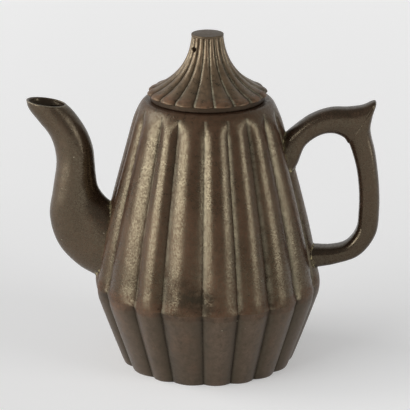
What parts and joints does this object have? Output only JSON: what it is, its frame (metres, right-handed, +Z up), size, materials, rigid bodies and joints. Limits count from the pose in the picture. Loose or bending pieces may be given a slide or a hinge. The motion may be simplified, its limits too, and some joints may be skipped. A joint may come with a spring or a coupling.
{
  "type": "yixing teapot",
  "caption": "Unglazed stoneware teapot with a lobed conical body, hollow curved spout, ear handle with a spur, and a fluted lift-off lid.",
  "frame": {"origin": "centre of the flat base, on the surface the pot stands on", "axes": "+Z up; +X towards the handle, so the spout points along -X; +Y across the pot"},
  "size_m": [0.1461, 0.093, 0.14],
  "materials": {
    "burnished_clay": "unglazed dark brown stoneware, burnished to a soft gloss",
    "worn_clay": "unglazed greyish brown stoneware, duller and worn reddish along the edge",
    "lid_clay": "unglazed brown stoneware, matt between lighter rubbed ridges"
  },
  "bodies": {
    "pot": {"base_slab": "worn_clay", "lower_wall": "worn_clay", "upper_wall": "burnished_clay", "mouth_ring": "burnished_clay", "spout": "burnished_clay", "handle": "burnished_clay"},
    "lid": {"lid_canopy": "lid_clay", "lid_plate": "lid_clay", "lid_flange": "lid_clay", "knob_disc": "lid_clay"}
  },
  "joints": [
    {"name": "lid_lift", "type": "slide", "parent": "pot", "child": "lid", "axis": [0, 0, 1], "range_m": [0, 0.06]}
  ]
}
